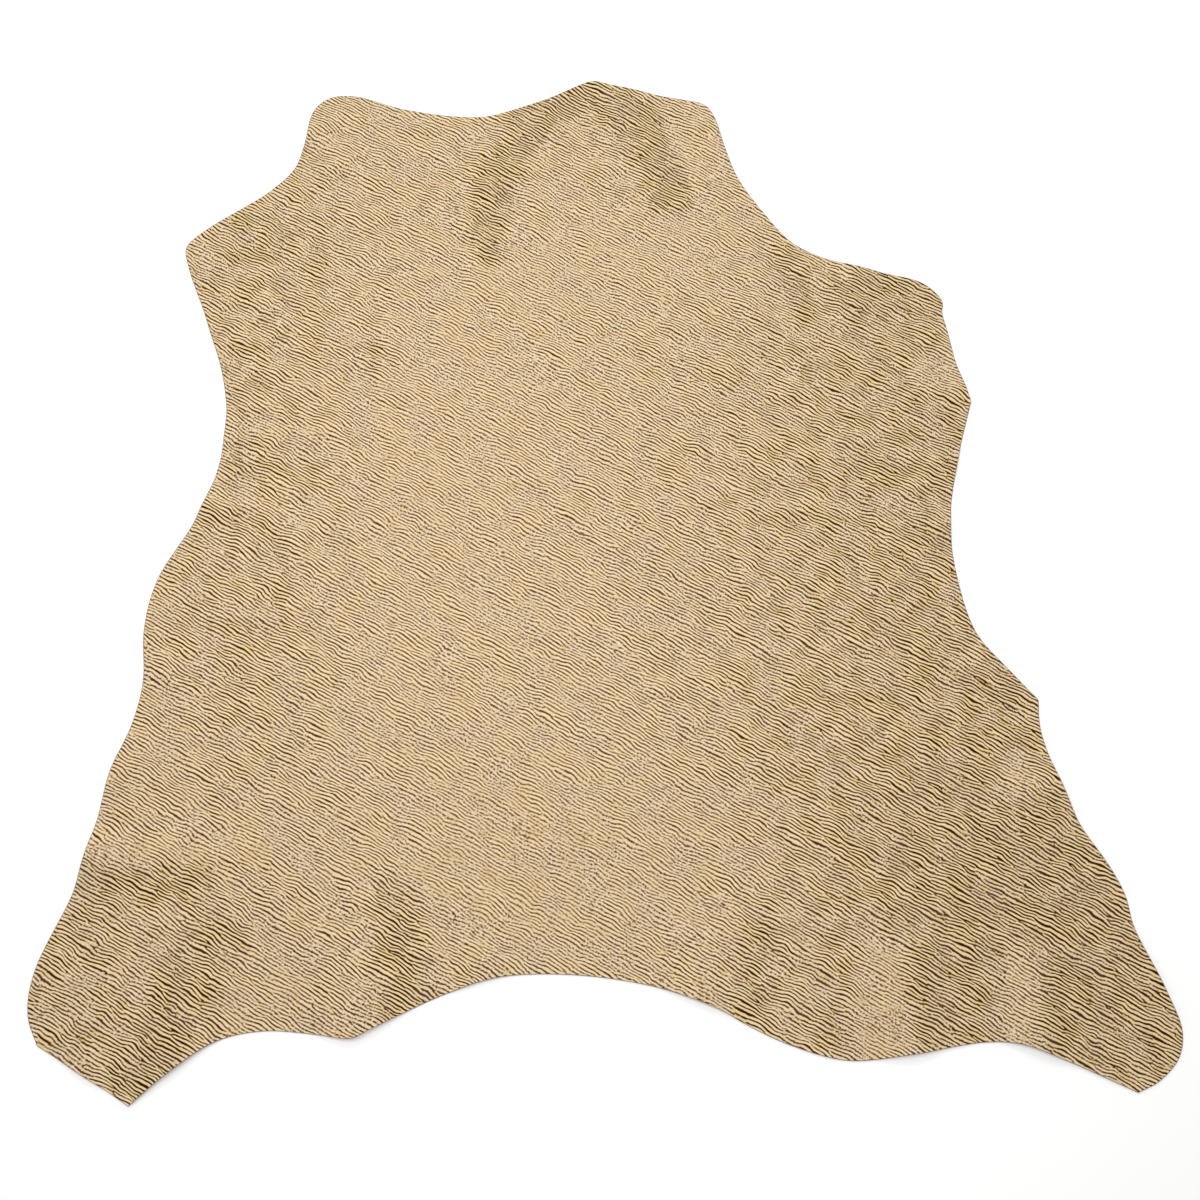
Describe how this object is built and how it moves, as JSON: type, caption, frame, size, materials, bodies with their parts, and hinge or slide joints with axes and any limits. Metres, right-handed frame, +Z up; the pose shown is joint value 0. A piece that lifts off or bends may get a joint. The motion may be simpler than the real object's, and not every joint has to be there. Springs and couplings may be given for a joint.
{
  "type": "leather hide",
  "caption": "Whole tanned skin lying flat, grain side up, with neck, fore legs, waist and hind legs in its cut outline and low folds at its edges.",
  "frame": {"origin": "middle of the hide's box, in the plane that its flesh side rests on", "axes": "+Y towards the neck, +X towards the right hind leg as seen from above, +Z up from the grain side"},
  "size_m": [0.8721, 0.864, 0.0066],
  "materials": {
    "leather": "tan ground with a dark ripple line grain and a soft pearl sheen; raw cut edge and suede flesh side"
  },
  "bodies": {
    "root": {"hide": "leather"}
  },
  "joints": []
}
